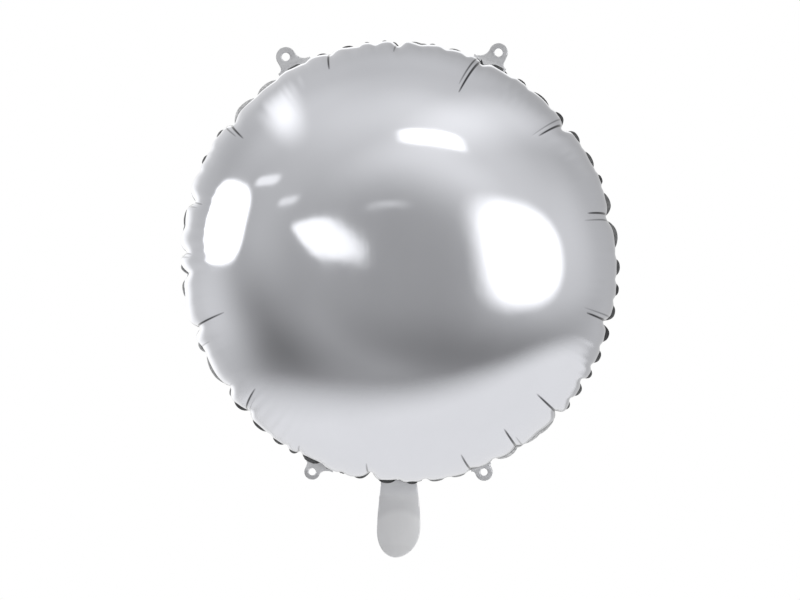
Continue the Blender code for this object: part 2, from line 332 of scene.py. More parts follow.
def film_inset():
    """How far the film's own edge lies inside the outline, evened out, for each tenth of a degree."""
    around = 360 * PER_DEGREE
    reach = 6 * PER_DEGREE
    inset = np.full(around, FOLDED)
    for start, end, width, painted_lightness in CRESCENTS:
        covered = np.arange(round(start * PER_DEGREE), round(end * PER_DEGREE)) % around
        inset[covered] = width + EXTRA_THICKNESS
    kernel = np.exp(-(np.arange(-reach, reach + 1) / PER_DEGREE / INSET_BLUR) ** 2)
    wrapped = np.concatenate((inset[-reach:], inset, inset[:reach]))
    return np.convolve(wrapped, kernel / kernel.sum(), mode="valid") * PIXEL


inset_table = film_inset()
inset_angles = np.arange(360 * PER_DEGREE) / PER_DEGREE


def outline_radius(angles):
    """The radius over the weld band's crests."""
    return BAND_OUTER * (1 + OVAL_SHARE * np.cos(2 * np.radians(angles - OVAL_ANGLE)))


def rim_radius_at(angles):
    """The radius of the film's own edge on the crowns of its lobes, which makes room where a tab bends."""
    radius = outline_radius(angles) - np.interp(angles % 360, inset_angles, inset_table, period=360)
    for body in TAB_BODIES:
        near = np.exp(-(turn_between(angles, hinge_angle(body)) / SEAT_WIDTH) ** 4)
        radius -= np.maximum(radius - (hinge_radius(body) - SEAT_ROOM), 0) * near
    return radius


# %% The film's place in the outline
RIM_FADE = 0.030
FILM_SPREAD = 1.012


def rim_scale(angles, film):
    """How far out the film lies, as a share of the round one: oval all over, and fitted at its edge."""
    oval = outline_radius(angles) / BAND_OUTER * FILM_SPREAD
    return oval + (rim_radius_at(angles) / RIM_RADIUS - oval) * np.exp(-(film / RIM_FADE) ** 2)


# %% [markdown]
# Between the creases the film keeps faint radial waves. They are a sum of a few seeded waves, strongest
# a few centimetres from the weld, and too shallow to see except in the reflections.

# %% Faint radial waves
WAVE_COUNT = 16
WAVE_HEIGHT = 0.000035
WAVE_PLACE = 0.034
WAVE_SPREAD = 0.020
WAVE_TURNS = (38, 170)
rng = np.random.default_rng(11)
wave_turns = rng.integers(*WAVE_TURNS, WAVE_COUNT)
wave_phases = rng.uniform(0, 2 * pi, WAVE_COUNT)
wave_sizes = rng.uniform(0.4, 1.0, WAVE_COUNT)


def waves(angles, film):
    """Height of the faint waves that run in from the rim."""
    total = np.zeros_like(angles)
    for count, phase, size in zip(wave_turns, wave_phases, wave_sizes):
        total += size * np.sin(count * np.radians(angles) + phase)
    return WAVE_HEIGHT * total * np.exp(-((film - WAVE_PLACE) / WAVE_SPREAD) ** 2)


# %% [markdown]
# The columns of points are spun evenly and then drawn together near the notches, where the shape turns
# fastest. A running sum of how many columns each angle wants gives the new angles.

# %% Columns that crowd towards the creases
CROWDING = 5.0
CROWD_WIDTH = 1.1
CROWD_GRID = 7201


def crowd(shares, centres):
    """Angles in degrees for evenly spaced shares of a turn, closer together near the centres."""
    grid = np.linspace(0, 360, CROWD_GRID)
    density = np.ones_like(grid)
    for centre in centres:
        density += CROWDING * np.exp(-(turn_between(grid, centre) / CROWD_WIDTH) ** 2)
    total = np.concatenate(([0], np.cumsum((density[1:] + density[:-1]) / 2)))
    return np.interp(shares, total / total[-1], grid)


# %% [markdown]
# ## Small helpers
#
# A mesh is built in bmesh, its points may then be moved as one numpy array, and the object is left at the
# origin with its place in its points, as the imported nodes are.

# %% From bmesh to object
def object_from(bm, name, material):
    """A smooth-shaded object whose faces all point outwards."""
    bmesh.ops.recalc_face_normals(bm, faces=bm.faces)
    mesh = bpy.data.meshes.new(name)
    bm.to_mesh(mesh)
    bm.free()
    mesh.shade_smooth()
    mesh.materials.append(material)
    obj = bpy.data.objects.new(name, mesh)
    bpy.context.collection.objects.link(obj)
    return obj


def spin_quarters(bm, geom, steps):
    """Spin a quarter turn about Y and mirror it twice, which is far quicker than one long spin."""
    bmesh.ops.spin(bm, geom=geom, cent=(0, 0, 0), axis=(0, 1, 0), angle=pi / 2, steps=steps // 4)
    for axis in "XZ":
        bmesh.ops.mirror(bm, geom=bm.verts[:] + bm.edges[:] + bm.faces[:], merge_dist=1e-6, axis=axis)
    bmesh.ops.remove_doubles(bm, verts=bm.verts, dist=1e-6)


def points_of(obj):
    """A mesh's points as rows of x, y and z."""
    points = np.empty(len(obj.data.vertices) * 3, np.float32)
    obj.data.vertices.foreach_get("co", points)
    return points.reshape(-1, 3).astype(float)


def set_points(obj, points):
    """Put moved points back into their mesh."""
    obj.data.vertices.foreach_set("co", points.astype(np.float32).ravel())
    obj.data.update()


def turn_shares(points):
    """Each point's angle round the weld, as a share of a full turn."""
    return (np.degrees(np.arctan2(points[:, 2], points[:, 0])) % 360) / 360


def paint(obj, name, values):
    """Keep a number for each point, which a material can read."""
    layer = obj.data.attributes.new(name, "FLOAT", "POINT")
    layer.data.foreach_set("value", np.asarray(values, np.float32))


def attach(obj, body, slot, *nodes):
    """Let a piece move with a body and hide the plain solids that it stands for; slot is not used."""
    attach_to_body(obj, body)
    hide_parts(*nodes)
    print(f"{obj.name}: {len(obj.data.polygons)} faces on {body}")


# %% [markdown]
# ## Finishes
#
# All of the film is the same thing, polyester with a breath of aluminium on it, so every finish is a
# fully metallic shader. What differs is how the light is scattered: the filled film is a mirror with fine
# streaks from the rolls it was made on, and the welded film is crimped by the hot tool.

# %% Node helpers
def new_finish(name, colour, roughness):
    """A metallic material, its node tree and its shader."""
    material = bpy.data.materials.new(name)
    material.use_nodes = True
    tree = material.node_tree
    shader = tree.nodes["Principled BSDF"]
    shader.inputs["Base Color"].default_value = (*colour, 1.0)
    shader.inputs["Metallic"].default_value = 1.0
    shader.inputs["Roughness"].default_value = roughness
    return material, tree, shader


def noise(tree, stretch, detail=3.0):
    """Noise on Object coordinates; stretch is how many of its grains fit in a metre along each axis."""
    place = tree.nodes.new("ShaderNodeTexCoord")
    mapping = tree.nodes.new("ShaderNodeMapping")
    mapping.inputs["Scale"].default_value = stretch
    texture = tree.nodes.new("ShaderNodeTexNoise")
    texture.inputs["Scale"].default_value = 1.0
    texture.inputs["Detail"].default_value = detail
    tree.links.new(place.outputs["Object"], mapping.inputs["Vector"])
    tree.links.new(mapping.outputs["Vector"], texture.inputs["Vector"])
    return texture.outputs["Fac"]


def remap(tree, value, old, new, way="LINEAR"):
    """Spread a value from one range over another, evenly or with a soft start and end."""
    node = tree.nodes.new("ShaderNodeMapRange")
    node.interpolation_type = way
    for name, number in zip(("From Min", "From Max", "To Min", "To Max"), (*old, *new)):
        node.inputs[name].default_value = number
    tree.links.new(value, node.inputs["Value"])
    return node.outputs["Result"]


def painted(tree, name):
    """A number that was painted on the points."""
    node = tree.nodes.new("ShaderNodeAttribute")
    node.attribute_name = name
    return node.outputs["Fac"]


def tone(tree, value, stops):
    """A colour for each value, from (position, colour) stops."""
    ramp = tree.nodes.new("ShaderNodeValToRGB")
    elements = ramp.color_ramp.elements
    while len(elements) > 1:
        elements.remove(elements[-1])
    elements[0].position, elements[0].color = stops[0][0], (*stops[0][1], 1.0)
    for position, colour in stops[1:]:
        elements.new(position).color = (*colour, 1.0)
    tree.links.new(value, ramp.inputs["Fac"])
    return ramp.outputs["Color"]


def shade(tree, shader, first, second):
    """Make one colour, darkened by another, the shader's own."""
    mix = tree.nodes.new("ShaderNodeMix")
    mix.data_type = "RGBA"
    mix.blend_type = "MULTIPLY"
    mix.inputs["Factor"].default_value = 1.0
    tree.links.new(first, mix.inputs["A"])
    tree.links.new(second, mix.inputs["B"])
    tree.links.new(mix.outputs["Result"], shader.inputs["Base Color"])


def drift(tree, stretch, low, high):
    """A colour that drifts between two tones."""
    return tone(tree, noise(tree, stretch), [(0.3, low), (0.7, high)])


def mix_shaders(tree, share, first, second, output):
    """Mix two shaders by a share and send the result out."""
    mix = tree.nodes.new("ShaderNodeMixShader")
    for socket, value in zip(mix.inputs, (share, first, second)):
        tree.links.new(value, socket)
    tree.links.new(mix.outputs["Shader"], tree.nodes[output].inputs["Surface"])


def bump(tree, shader, layers):
    """Stack bumps on a shader; each layer is a height and its depth in metres."""
    normal = None
    for height, depth in layers:
        node = tree.nodes.new("ShaderNodeBump")
        node.inputs["Distance"].default_value = depth
        tree.links.new(height, node.inputs["Height"])
        if normal:
            tree.links.new(normal, node.inputs["Normal"])
        normal = node.outputs["Normal"]
    tree.links.new(normal, shader.inputs["Normal"])


# %% The four finishes
def make_foil():
    """The filled film: a mirror with soft dents and fine streaks, with painted shade inside its folds."""
    material, tree, shader = new_finish("mirror_film", (0.87, 0.88, 0.90), 0.08)
    film = drift(tree, (14, 14, 9), (0.85, 0.86, 0.905), (0.885, 0.895, 0.94))
    # Painted shade: the fold number darkens the base colour inside each crease.
    shadow = tone(tree, painted(tree, "fold"), [(0.15, (1, 1, 1)), (0.75, (0.08, 0.08, 0.085))])
    shade(tree, shader, film, shadow)
    patches = remap(tree, noise(tree, (60, 60, 22), 4.0), (0.25, 0.75), (0.06, 0.10))
    tree.links.new(patches, shader.inputs["Roughness"])
    streaks = noise(tree, (420, 420, 26), 2.0)
    dents = noise(tree, (38, 38, 30), 2.0)
    bump(tree, shader, [(dents, 0.00006), (streaks, 0.000004)])
    return material


def make_welded():
    """The weld band: crimped film with grain, and painted light and shade from nearly black to nearly white.
    """
    material, tree, shader = new_finish("crimped_weld", (0.36, 0.365, 0.375), 0.50)
    grain = drift(tree, (420, 420, 420), (0.45, 0.45, 0.45), (1, 1, 1))
    # Painted light and shade: the number painted on the band's points sets its tone, from nearly black to
    # nearly white.
    band_light_and_shade = tone(tree, painted(tree, "painted_light"), [(0.0, (0.03, 0.03, 0.033)), (0.5, (0.42, 0.425, 0.43)),
                                               (1.0, (0.92, 0.925, 0.935))])
    shade(tree, shader, grain, band_light_and_shade)
    bump(tree, shader, [(noise(tree, (900, 900, 900), 3.0), 0.00012)])
    return material


def make_ear_film():
    """The ears: satin film, a little darker round the hole than at the root."""
    material, tree, shader = new_finish("ear_film", (0.84, 0.845, 0.86), 0.40)
    film = drift(tree, (90, 90, 90), (0.82, 0.825, 0.845), (0.90, 0.905, 0.92))
    ring = tone(tree, painted(tree, "web"), [(0.0, (0.82, 0.82, 0.825)), (1.0, (1, 1, 1))])
    shade(tree, shader, film, ring)
    bump(tree, shader, [(noise(tree, (130, 130, 130), 3.0), 0.00012)])
    return material


def make_tail_film():
    """The tail's plies: satin film, a little darker above the arc."""
    material, tree, shader = new_finish("tail_film", (0.86, 0.865, 0.88), 0.46)
    film = drift(tree, (40, 40, 24), (0.85, 0.855, 0.875), (0.92, 0.925, 0.94))
    upper = tone(tree, painted(tree, "lower"), [(0.0, (0.90, 0.90, 0.905)), (1.0, (1, 1, 1))])
    shade(tree, shader, film, upper)
    bump(tree, shader, [(noise(tree, (110, 110, 40), 3.0), 0.00010)])
    return material


def make_sleeve_film():
    """The valve: plain glossy plastic."""
    material, tree, shader = new_finish("valve_finish", (0.84, 0.85, 0.86), 0.25)
    shader.inputs["Metallic"].default_value = 0.0
    film = drift(tree, (60, 60, 60), (0.80, 0.81, 0.825), (0.88, 0.89, 0.90))
    tree.links.new(film, shader.inputs["Base Color"])
    bump(tree, shader, [(noise(tree, (90, 90, 30)), 0.0001)])
    return material


foil = make_foil()
welded = make_welded()
ear_film = make_ear_film()
tail_film = make_tail_film()
sleeve_film = make_sleeve_film()
print("finishes:", [material.name for material in (foil, welded, ear_film, tail_film, sleeve_film)])

# %% [markdown]
# ## The two filled films
#
# Each film is a line from weld to pole, spun round, with rings close together near the weld and wide apart
# on the smooth middle. A flat face closes it at the weld, out of sight. The notches are then pulled in.

# %% Rings of the filled film
SPIN_STEPS = 1200
FIRST_STEP = 0.0010
LAST_RING = 0.003
# Past a length of film, each step grows by a factor, up to a largest step. The furthest rule comes first.
RING_RULES = [(0.082, 1.15, 0.0070), (0.012, 1.10, 0.0020)]


def ring_places():
    """Lengths of film from the weld for the rings, finest at the weld."""
    places = [0.0]
    step = FIRST_STEP
    while places[-1] + step < FILM_RADIUS - LAST_RING:
        places.append(places[-1] + step)
        for past, growth, largest in RING_RULES:
            if places[-1] > past:
                step = min(step * growth, largest)
                break
    return places


print(len(ring_places()), "rings")


# %% Building one filled film
AT_POLE = 1e-4


def make_film(name, side):
    """The film on one side of the weld: side is -1 for the front and 1 for the back."""
    radius, height = film_point(np.array(ring_places() + [FILM_RADIUS]))[:2]
    bm = bmesh.new()
    line = [bm.verts.new((x, side * (SEAM_GAP + y), 0)) for x, y in zip(radius, height)]
    edges = [bm.edges.new(pair) for pair in zip(line, line[1:])]
    spin_quarters(bm, line + edges, SPIN_STEPS)
    rim = [edge for edge in bm.edges if edge.is_boundary]
    bmesh.ops.holes_fill(bm, edges=rim, sides=0)
    return object_from(bm, name, foil)


def pucker(obj, side, creases):
    """Gather the film at its notches and fold it at its creases."""
    points = points_of(obj)
    radius = np.hypot(points[:, 0], points[:, 2])
    film = film_at(radius, np.abs(points[:, 1]) - SEAM_GAP)
    shares = turn_shares(points)
    rings = np.round(film, 5)
    fold_shade = np.zeros(len(points))
    for ring in np.unique(rings):
        here = rings == ring
        if ring > FILM_RADIUS - AT_POLE:
            continue
        places = [crease_angle(crease, ring) for crease in creases] + [angle for angle, pull in NICKS]
        angles = crowd(shares[here], places)
        smooth_radius, smooth_height, lean = film_point(ring)
        folded, fold_shade[here] = crease_pull(angles, ring, smooth_radius, creases)
        pull = notch_pull(angles, ring) + folded - waves(angles, ring)
        out = (smooth_radius - pull * lean) * rim_scale(angles, ring)
        away = smooth_height - pull * sqrt(1 - lean ** 2)
        points[here, 0] = out * np.cos(np.radians(angles))
        points[here, 2] = out * np.sin(np.radians(angles))
        points[here, 1] = side * (SEAM_GAP + np.maximum(away, 0))
    set_points(obj, points)
    # Keep the painted shade inside the folds on the points.
    paint(obj, "fold", np.clip(fold_shade, 0, 1))


# %% [markdown]
# The back film shares the rim's notches, because both films are welded at it, but its creases lean
# another way and have other lengths and depths. They are drawn from a seed.

# %% Front and back
BACK_LEAN = 3
BACK_LENGTHS = (0.7, 1.15)
BACK_DEPTHS = (0.6, 1.1)
front_creases = CREASES + SIDE_CREASES
back_creases = []
for start, end, length, depth, pull in CREASES:
    back_creases.append((start, start + rng.uniform(-BACK_LEAN, BACK_LEAN),
                         length * rng.uniform(*BACK_LENGTHS), depth * rng.uniform(*BACK_DEPTHS)))
front_film = make_film("foil_front", -1)
pucker(front_film, -1, front_creases)
attach(front_film, "envelope", "foil", "envelope_front")
back_film = make_film("foil_back", 1)
pucker(back_film, 1, back_creases)
attach(back_film, "envelope", "foil", "envelope_back")

# %% [markdown]
# ## The weld band
#
# Outside the filled film runs a 5 mm strip where both films are melted together. It leans out over the
# crowns of most lobes, folds back in each notch, and the hot tool has crimped it. From the front it shows
# as thin crescents. It is made as one flat ring first, and then every point is moved out, back or both.

# %% Weld band
BAND_STEPS = 2000
BAND_ROOT = 0.003
BAND_COLUMNS = 11
BAND_HALF = 0.00012
CRIMP_COUNT = 22
CRIMP_HEIGHT = 0.00004
CRIMP_TURNS = (160, 430)
CRIMP_SLANT = 900
CRIMP_START = 0.001


def make_band():
    """A flat ring from just inside the weld to the band's outer edge."""
    across = np.linspace(RIM_RADIUS - BAND_ROOT, BAND_OUTER, BAND_COLUMNS)
    outline = [(x, -BAND_HALF) for x in across] + [(x, BAND_HALF) for x in across[::-1]]
    bm = bmesh.new()
    verts = [bm.verts.new((x, y, 0)) for x, y in outline]
    edges = [bm.edges.new(pair) for pair in zip(verts, verts[1:] + verts[:1])]
    spin_quarters(bm, verts + edges, BAND_STEPS)
    return object_from(bm, "weld_strip", welded)


def crimps(angles, out):
    """The tool's crimps: short waves round the rim that shift a little across the band."""
    seeded = np.random.default_rng(5)
    total = np.zeros_like(angles)
    for count in seeded.integers(*CRIMP_TURNS, CRIMP_COUNT):
        slant = seeded.uniform(-CRIMP_SLANT, CRIMP_SLANT)
        total += np.sin(count * np.radians(angles) + slant * out + seeded.uniform(0, 2 * pi))
    return CRIMP_HEIGHT * total


# %% [markdown]
# Under an ear or the tail the band must leave room, or the tab would cut into it as it bends. There it is
# kept inside the bending line, and in front of the tab's own root, which lies TAB_BEHIND further back.

# %% Shaping the band
LEAST_STAND = 0.05
TAB_BEHIND = 0.0008
TAB_CLEARANCE = 0.0004
EAR_REACH = 0.010
TAIL_REACH = 0.017
# The band's painted shade: its root is painted in shade, and the tips of darker crescents fade into shade.
SHADED_ROOT = 0.0008
ROOT_PALENESS = 0.25
VERY_PALE = 0.7
PALE_TIPS = 0.05
DARK_TIPS = 0.4


def shape_band(obj):
    """Stand the band out in its crescents, fold it back elsewhere, and crimp it."""
    points = points_of(obj)
    out = np.hypot(points[:, 0], points[:, 2]) - RIM_RADIUS
    face = np.sign(points[:, 1])
    shares = turn_shares(points)
    angles = crowd(shares, list(notch_angles))
    root = rim_radius_at(angles) - notch_pull(angles, 0.0)
    thickness, painted_light, middle = crescent_at(angles)
    stand = np.clip(thickness / BAND_WIDTH, LEAST_STAND, 1)
    outside = np.maximum(out, 0)
    radius = root + np.minimum(out, 0) + outside * stand
    depth = outside * np.sqrt(1 - stand ** 2) + crimps(angles, out) * np.clip(out / CRIMP_START, 0, 1)
    for body in TAB_BODIES:
        turn = np.radians(turn_between(angles, hinge_angle(body)))
        near = np.abs(turn) * RIM_RADIUS < (TAIL_REACH if body == "tail" else EAR_REACH)
        bend = (hinge_radius(body) - TAB_CLEARANCE) / np.cos(np.minimum(np.abs(turn), 1))
        depth = np.where(near, np.minimum(depth, TAB_BEHIND - TAB_CLEARANCE), depth)
        radius = np.minimum(radius, np.where(near, bend, np.inf))
    points[:, 0] = radius * np.cos(np.radians(angles))
    points[:, 2] = radius * np.sin(np.radians(angles))
    points[:, 1] = depth + face * BAND_HALF
    set_points(obj, points)
    # Paint the band's light and shade: each crescent's own paleness, shaded at the root and towards its tips.
    shown = np.clip(outside * stand / SHADED_ROOT, 0, 1)
    tips = np.maximum(middle, 0) ** np.where(painted_light > VERY_PALE, PALE_TIPS, DARK_TIPS)
    paint(obj, "painted_light", painted_light * (ROOT_PALENESS + (1 - ROOT_PALENESS) * shown) * tips)


weld_strip = make_band()
shape_band(weld_strip)
attach(weld_strip, "envelope", "welded_foil", "weld_band")

# %% [markdown]
# ## Eyelet ears
#
# Four ears of flat double film stand on the rim, each with a punched hole for ribbon. An ear bends where
# it leaves the weld, so its mesh has rows of points across that line.
# A boolean could punch the hole, but filling between two outlines gives it at once, with a clean edge.

# %% Outlines from arcs
def arc(centre_x, centre_y, radius, start, end, steps):
    """Points along an arc, angles in degrees."""
    spread = np.radians(np.linspace(start, end, steps + 1))
    return [(centre_x + radius * cos(turn), centre_y + radius * sin(turn)) for turn in spread]


def add_loop(bm, points):
    """A closed loop of edges in the XZ plane."""
    verts = [bm.verts.new((x, 0, z)) for x, z in points]
    return [bm.edges.new(pair) for pair in zip(verts, verts[1:] + verts[:1])]


def cut_rows(bm, places, normal):
    """Cut the sheet along parallel lines, so that it can bend."""
    for place in places:
        geometry = bm.verts[:] + bm.edges[:] + bm.faces[:]
        bmesh.ops.bisect_plane(bm, geom=geometry, dist=1e-6, plane_co=Vector(normal) * float(place),
                               plane_no=normal)


def thicken(bm, thickness):
    """Give a flat sheet its thickness along Y."""
    bmesh.ops.triangulate(bm, faces=[face for face in bm.faces if len(face.verts) > 4])
    raised = bmesh.ops.extrude_face_region(bm, geom=bm.faces[:])
    verts = [item for item in raised["geom"] if isinstance(item, bmesh.types.BMVert)]
    bmesh.ops.translate(bm, verts=verts, vec=(0, thickness, 0))


# %% Ear sizes
EAR_THICKNESS = 0.0003
EAR_TUCK = 0.0050
# Radii of the round end and of the hole, how far the tip curls, and the width and height of the hollow
# flares, the clockwise one first.
EAR_SIZES = {
    "top_left_ear": {"end": 0.0077, "hole": 0.0032, "cup": 0.0007,
                     "flares": ((0.0087, 0.0085), (0.0039, 0.0039))},
    "top_right_ear": {"end": 0.0073, "hole": 0.0032, "cup": -0.0005,
                      "flares": ((0.0037, 0.0037), (0.0092, 0.0086))},
    "bottom_left_ear": {"end": 0.0062, "hole": 0.0028, "cup": 0.0005,
                        "flares": ((0.0012, 0.0020), (0.0088, 0.0052))},
    "bottom_right_ear": {"end": 0.0068, "hole": 0.0028, "cup": -0.0006,
                         "flares": ((0.0022, 0.0028), (0.0008, 0.0012))},
}


def hole_radius_at(body):
    """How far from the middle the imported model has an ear's eyelet."""
    name = "eyelet_" + body.replace("_ear", "")
    low, high = next(item["box_m"] for item in frame["record"]["physics"]["openings"] if item["name"] == name)
    return hypot((low[0] + high[0]) / 2, (low[2] + high[2]) / 2)


# %% Ear outline
FLARE_STEPS = 12
CROWN_STEPS = 40
HOLE_STEPS = 48


def flare(end, width, height):
    """The hollow curve from an ear's root to its side."""
    return [(end + width + width * x, height + height * z) for x, z in arc(0, 0, 1, 270, 180, FLARE_STEPS)]


def ear_outline(sizes, hole_height):
    """Straight root, two hollow flares and a round end; height 0 is the bending line."""
    right, left = [flare(sizes["end"], *size) for size in sizes["flares"]]
    crown = arc(0, hole_height, sizes["end"], 0, 180, CROWN_STEPS)
    mirrored = [(-x, z) for x, z in left[::-1]]
    return [(right[0][0], -EAR_TUCK)] + right + crown + mirrored + [(mirrored[-1][0], -EAR_TUCK)]


# %% One ear
EAR_ROW = 0.0008
EAR_COLUMN = 0.0016
EAR_HALF_SPAN = 0.0184
SIDE_CURL = 0.8
# The web below the hole reflects a little more light, up to this share of the hole's height.
WEB_SHARE = 0.55
WEB_SLANT = 0.35
WEB_SOFTNESS = 0.004


def make_ear(body, sizes):
    """A flat ear with its hole, curled a little, its root behind the band and its place on the rim."""
    angle = radians(hinge_angle(body))
    hole_height = hole_radius_at(body) - hinge_radius(body)
    top = hole_height + sizes["end"]
    bm = bmesh.new()
    add_loop(bm, ear_outline(sizes, hole_height))
    add_loop(bm, arc(0, hole_height, sizes["hole"], 0, 360, HOLE_STEPS)[:-1])
    bmesh.ops.triangle_fill(bm, edges=bm.edges[:], use_beauty=True, use_dissolve=False, normal=(0, 1, 0))
    cut_rows(bm, np.arange(-EAR_TUCK + EAR_ROW, top, EAR_ROW), (0, 0, 1))
    cut_rows(bm, np.arange(-EAR_HALF_SPAN, EAR_HALF_SPAN, EAR_COLUMN), (1, 0, 0))
    thicken(bm, EAR_THICKNESS)
    web = []
    for vert in bm.verts:
        x, height = vert.co.x, vert.co.z
        reach = max(height, 0) / top
        vert.co.y += TAB_BEHIND * (1 - min(reach * 2, 1)) - EAR_THICKNESS / 2
        vert.co.y += sizes["cup"] * reach ** 2 * (1 - (x / sizes["end"]) ** 2 * SIDE_CURL)
        below = WEB_SHARE * hole_height - height + WEB_SLANT * abs(x)
        web.append(min(max(below / WEB_SOFTNESS + 0.5, 0), 1))
    turn = Matrix.Rotation(pi / 2 - angle, 4, "Y")
    place = Matrix.Translation((hinge_radius(body) * cos(angle), 0, hinge_radius(body) * sin(angle)))
    bmesh.ops.transform(bm, matrix=place @ turn, verts=bm.verts)
    obj = object_from(bm, "eyelet_" + body, ear_film)
    paint(obj, "web", web)
    return obj


# %% [markdown]
# The filled film is a mirror, and it would reflect each root as a second tab that seems to stand in front
# of the film. The photograph shows no such thing, so ears and tail are hidden from reflections.


def blend_at(obj):
    """Bake the tab's placement into its points."""
    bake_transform(obj)


for body, sizes in EAR_SIZES.items():
    ear = make_ear(body, sizes)
    blend_at(ear)
    ear.visible_glossy = False
    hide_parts("ear_" + body.replace("_ear", ""))
    print(f"{ear.name}: {len(ear.data.polygons)} faces, bends at {hinge_radius(body) * 1000:.1f} mm")

# %% [markdown]
# ## The filling tail
#
# The tail is two plies of the same film, welded along both sides, with a clear valve sleeve between
# them. It is flat, softly crowned down its middle, and bends where it leaves the weld.

# %% Tail sizes
tail_low, tail_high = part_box("tail_front_film")
TAIL_BEND = -JOINTS["tail"].z
TAIL_X = JOINTS["tail"].x
TAIL_LENGTH = -tail_low.z - TAIL_BEND
TAIL_WIDE_HALF = (tail_high.x - tail_low.x) / 2
TAIL_TUCK = 0.0040
TAIL_TOP_HALF = 0.0142
TAIL_END_LENGTH = 0.0225
TAIL_LEAN = 0.0026
TAIL_PLY = 0.0002
print(f"tail {TAIL_LENGTH * 1000:.1f} mm long and {TAIL_WIDE_HALF * 2000:.1f} mm wide")


# %% Tail outline
TAIL_OUTLINE_STEPS = 28


def tail_half_width(down):
    """Half the width of the tail at a distance below its bending line."""
    end_start = TAIL_LENGTH - TAIL_END_LENGTH
    if down <= end_start:
        return TAIL_TOP_HALF + (TAIL_WIDE_HALF - TAIL_TOP_HALF) * sin(pi / 2 * max(down, 0) / end_start)
    share = min((down - end_start) / TAIL_END_LENGTH, 1.0)
    return TAIL_WIDE_HALF * sqrt(1 - share ** 2)


def tail_drift(down):
    """How far the tail's middle line has drifted sideways at a distance below its bending line."""
    return -TAIL_LEAN * (max(down, 0) / TAIL_LENGTH) ** 4


def tail_outline():
    """Down one side, round the end and up the other side; height 0 is the bending line."""
    steps = TAIL_OUTLINE_STEPS
    downs = [-TAIL_TUCK] + [TAIL_LENGTH * sin(pi / 2 * i / steps) for i in range(steps)]
    left = [(tail_drift(down) - tail_half_width(down), -down) for down in downs]
    right = [(tail_drift(down) + tail_half_width(down), -down) for down in downs]
    return left + [(tail_drift(TAIL_LENGTH), -TAIL_LENGTH)] + right[::-1]


# %% Tail plies
TAIL_CROWN = 0.0007
PLY_SPACING = 1.2
LEAST_HALF = 1e-4
FLAT_ANGLE = 0.01
TAIL_CELL = 0.0012
TAIL_ROWS = (-0.0600, 0.004)
TAIL_COLUMNS = (-0.0200, 0.020)
CROWN_START = 0.012
CROWN_END = 0.01
ROOT_LENGTH = 0.008
# The lower part is a little paler than the upper one, below an arc across the tail.
ARC_DOWN = 0.020
ARC_SAG = 0.007
ARC_SOFTNESS = 0.005


def make_tail_sheet(name, points, side, crown, material):
    """One sheet of the tail: side is -1 for the front ply, 1 for the back one and 0 between them."""
    bm = bmesh.new()
    add_loop(bm, points)
    bmesh.ops.triangle_fill(bm, edges=bm.edges[:], use_beauty=True, use_dissolve=False, normal=(0, 1, 0))
    bmesh.ops.dissolve_limit(bm, angle_limit=FLAT_ANGLE, verts=bm.verts, edges=bm.edges)
    cut_rows(bm, np.arange(*TAIL_ROWS, TAIL_CELL), (0, 0, 1))
    cut_rows(bm, np.arange(*TAIL_COLUMNS, TAIL_CELL), (1, 0, 0))
    thicken(bm, TAIL_PLY)
    lower = []
    for vert in bm.verts:
        down = -vert.co.z
        half = max(tail_half_width(down), LEAST_HALF)
        across = min(abs(vert.co.x - tail_drift(down)) / half, 1.0)
        ends = min(max(down / CROWN_START, 0), 1) * min(1, (TAIL_LENGTH - down) / CROWN_END)
        swell = crown * (1 - across ** 2) * ends
        behind = (TAB_BEHIND + TAIL_PLY * 2) * (1 - min(max(down / ROOT_LENGTH, 0), 1))
        vert.co.y += side * (TAIL_PLY * PLY_SPACING + swell) - TAIL_PLY / 2 + behind
        lower.append(min(max((down - ARC_DOWN - ARC_SAG * across ** 2) / ARC_SOFTNESS + 0.5, 0), 1))
    bmesh.ops.translate(bm, verts=bm.verts, vec=(TAIL_X, 0, -TAIL_BEND))
    obj = object_from(bm, name, material)
    paint(obj, "lower", lower)
    obj.visible_glossy = False
    blend_at(obj)
    return obj


for name, side, node in [("tail_front_ply", -1, "tail_front_film"), ("tail_back_ply", 1, "tail_back_film")]:
    ply = make_tail_sheet(name, tail_outline(), side, TAIL_CROWN, tail_film)
    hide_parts(node)
    print(f"{name}: {len(ply.data.polygons)} faces")

# %% [markdown]
# The sleeve is the balloon's valve: two strips of clear film that gas pushes apart on its way in and then
# presses shut. Lying flat, it is one thin rectangle between the plies.

# %% Valve sleeve
SLEEVE_HALF = 0.0105
SLEEVE_TOP = 0.001
SLEEVE_LENGTH = 0.0480
sleeve_outline = [(-SLEEVE_HALF, SLEEVE_TOP), (-SLEEVE_HALF, -SLEEVE_LENGTH),
                  (SLEEVE_HALF, -SLEEVE_LENGTH), (SLEEVE_HALF, SLEEVE_TOP)]
sleeve = make_tail_sheet("valve_film", sleeve_outline, 0, 0.0, sleeve_film)
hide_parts("valve_sleeve")

# %% [markdown]
# ## Studio
#
# A mirror shows its room. The camera sees plain white, and the film sees soft greys that are painted on the
# world: a wall whose tone changes with height, and lamps on top of it. Each lamp is a rounded shape round a
# direction, as seen from the balloon: azimuth 0 is towards the camera, +90 to the right, and elevation is
# upwards. A dark screen is a lamp that takes light away. Area lamps would do too, but shapes on the world
# stay where their reflection is wanted, whatever their distance, and they leave no noise.

